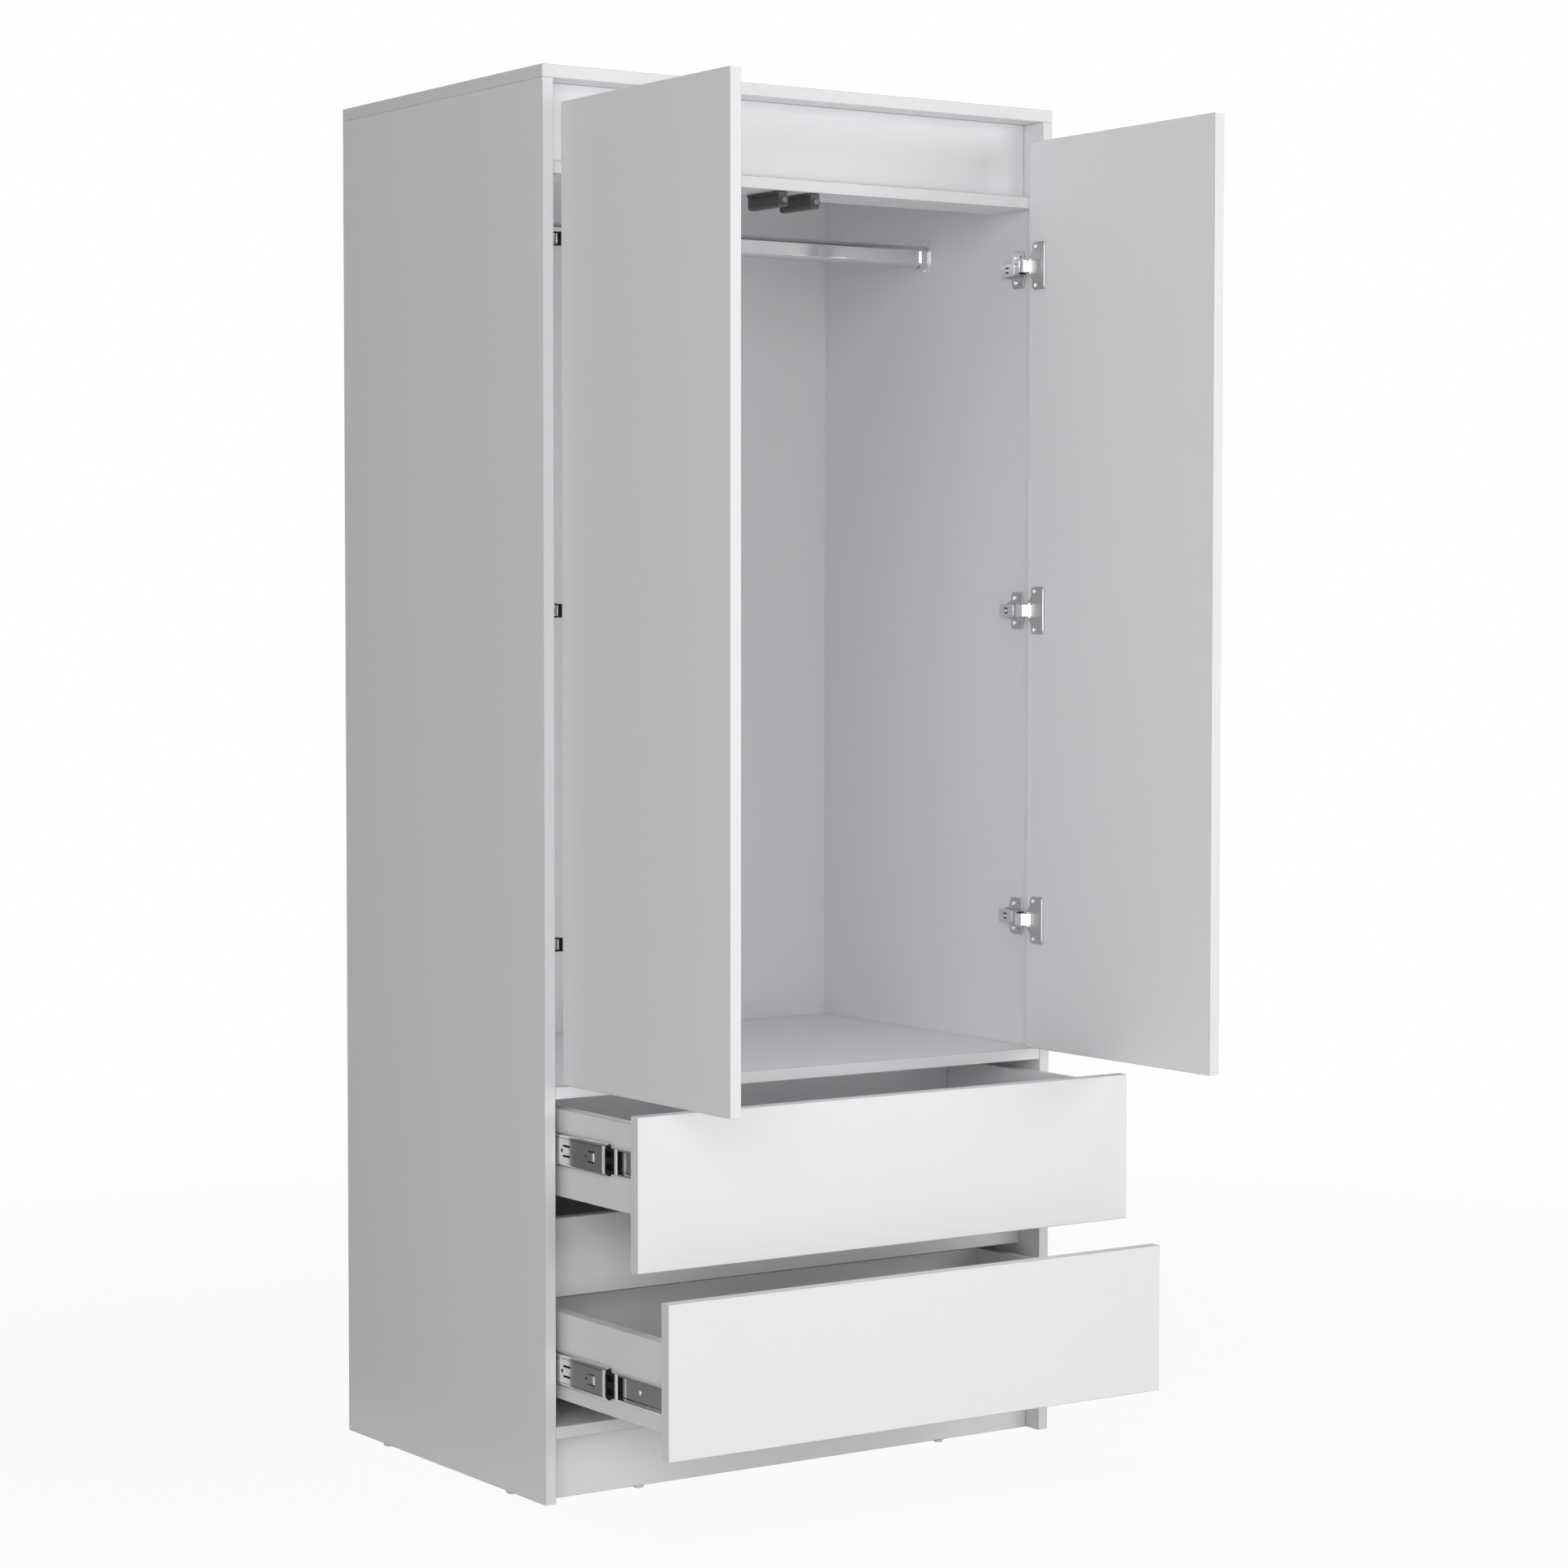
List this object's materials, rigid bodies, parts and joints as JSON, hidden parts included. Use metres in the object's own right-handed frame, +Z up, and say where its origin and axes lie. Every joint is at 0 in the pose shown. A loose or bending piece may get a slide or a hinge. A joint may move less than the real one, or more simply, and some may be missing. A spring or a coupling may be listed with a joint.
{
  "type": "wardrobe with doors",
  "caption": "Tall white melamine wardrobe: inset doors on cup hinges over a hanging space with an oval rod, drawers on ball-bearing slides below, shown part open.",
  "frame": {"origin": "on the floor, at the centre of the box round the wardrobe as stored, with its doors open at a right angle; the carcass front is 73 mm in front of it", "axes": "+Z up, +X to the right seen from the front, the front faces -Y"},
  "size_m": [0.8, 0.914, 1.8043],
  "materials": {
    "white_board": "satin white melamine",
    "back_sheet": "matt white lacquered hardboard",
    "hinge_steel": "bright nickel plate",
    "slide_steel": "zinc plate",
    "rod_chrome": "polished chrome plate",
    "latch_plastic": "fine-grained dark grey plastic",
    "pale_plastic": "satin pale grey plastic"
  },
  "bodies": {
    "carcass": {"back_panel": "back_sheet", "bottom_panel": "white_board", "drawer_rail": "white_board", "hanging_rod": "rod_chrome", "left_front_glide": "pale_plastic", "left_latch_housing": "latch_plastic", "left_lower_hinge_arm": "hinge_steel", "left_middle_hinge_arm": "hinge_steel", "left_rear_glide": "pale_plastic", "left_rod_socket": "rod_chrome", "left_side_panel": "white_board", "left_upper_hinge_arm": "hinge_steel", "lower_left_slide_cabinet_member": "slide_steel", "lower_right_slide_cabinet_member": "slide_steel", "plinth": "white_board", "right_front_glide": "pale_plastic", "right_latch_housing": "latch_plastic", "right_lower_hinge_arm": "hinge_steel", "right_middle_hinge_arm": "hinge_steel", "right_rear_glide": "pale_plastic", "right_rod_socket": "rod_chrome", "right_side_panel": "white_board", "right_upper_hinge_arm": "hinge_steel", "top_fascia": "white_board", "top_panel": "white_board", "upper_left_slide_cabinet_member": "slide_steel", "upper_right_slide_cabinet_member": "slide_steel", "latch_rail": "white_board", "wardrobe_floor": "white_board"},
    "left_door": {"left_door": "white_board", "left_lower_hinge_cup": "hinge_steel", "left_middle_hinge_cup": "hinge_steel", "left_upper_hinge_cup": "hinge_steel"},
    "right_door": {"right_door": "white_board", "right_lower_hinge_cup": "hinge_steel", "right_middle_hinge_cup": "hinge_steel", "right_upper_hinge_cup": "hinge_steel"},
    "left_hinge_links": {"left_middle_hinge_link": "hinge_steel"},
    "right_hinge_links": {"right_middle_hinge_link": "hinge_steel"},
    "upper_drawer": {"upper_drawer_back": "white_board", "upper_drawer_bottom": "back_sheet", "upper_drawer_front": "white_board", "upper_drawer_left_side": "white_board", "upper_drawer_right_side": "white_board", "upper_left_slide_drawer_member": "slide_steel", "upper_right_slide_drawer_member": "slide_steel"},
    "upper_slide_members": {"upper_left_slide_middle_member": "slide_steel", "upper_right_slide_middle_member": "slide_steel"},
    "lower_drawer": {"lower_drawer_back": "white_board", "lower_drawer_bottom": "back_sheet", "lower_drawer_front": "white_board", "lower_drawer_left_side": "white_board", "lower_drawer_right_side": "white_board", "lower_left_slide_drawer_member": "slide_steel", "lower_right_slide_drawer_member": "slide_steel"},
    "lower_slide_members": {"lower_left_slide_middle_member": "slide_steel", "lower_right_slide_middle_member": "slide_steel"},
    "left_latch_plunger": {"left_latch_plunger": "pale_plastic"},
    "right_latch_plunger": {"right_latch_plunger": "pale_plastic"}
  },
  "joints": [
    {"name": "left_door_hinge", "type": "hinge", "parent": "carcass", "child": "left_door", "pos_m": [-0.37993, -0.07808, 1.1288], "axis": [0, 0, 1], "range_deg": [-20, 90]},
    {"name": "right_door_hinge", "type": "hinge", "parent": "carcass", "child": "right_door", "pos_m": [0.37993, -0.07808, 1.1288], "axis": [0, 0, 1], "range_deg": [-90, 20]},
    {"name": "left_link_pivot", "type": "hinge", "parent": "carcass", "child": "left_hinge_links", "pos_m": [-0.3695, -0.0505, 1.1288], "axis": [0, 0, 1], "range_deg": [-12, 54]},
    {"name": "right_link_pivot", "type": "hinge", "parent": "carcass", "child": "right_hinge_links", "pos_m": [0.3695, -0.0505, 1.1288], "axis": [0, 0, 1], "range_deg": [-54, 12]},
    {"name": "upper_drawer_slide", "type": "slide", "parent": "carcass", "child": "upper_drawer", "axis": [0, -1, 0], "range_m": [-0.1904, 0.1596]},
    {"name": "upper_slide_middle", "type": "slide", "parent": "carcass", "child": "upper_slide_members", "axis": [0, -1, 0], "range_m": [-0.13595, 0.11395]},
    {"name": "lower_drawer_slide", "type": "slide", "parent": "carcass", "child": "lower_drawer", "axis": [0, -1, 0], "range_m": [-0.2601, 0.0899]},
    {"name": "lower_slide_middle", "type": "slide", "parent": "carcass", "child": "lower_slide_members", "axis": [0, -1, 0], "range_m": [-0.13603, 0.04702]},
    {"name": "left_latch_push", "type": "slide", "parent": "carcass", "child": "left_latch_plunger", "axis": [0, 1, 0], "range_m": [0, 0.004], "stiffness_N_per_m": 250},
    {"name": "right_latch_push", "type": "slide", "parent": "carcass", "child": "right_latch_plunger", "axis": [0, 1, 0], "range_m": [0, 0.004], "stiffness_N_per_m": 250}
  ],
  "couplings": [
    {"joint": "left_link_pivot", "follows": "left_door_hinge", "ratio": 0.6},
    {"joint": "right_link_pivot", "follows": "right_door_hinge", "ratio": 0.6},
    {"joint": "upper_slide_middle", "follows": "upper_drawer_slide", "ratio": 0.714},
    {"joint": "lower_slide_middle", "follows": "lower_drawer_slide", "ratio": 0.523}
  ]
}
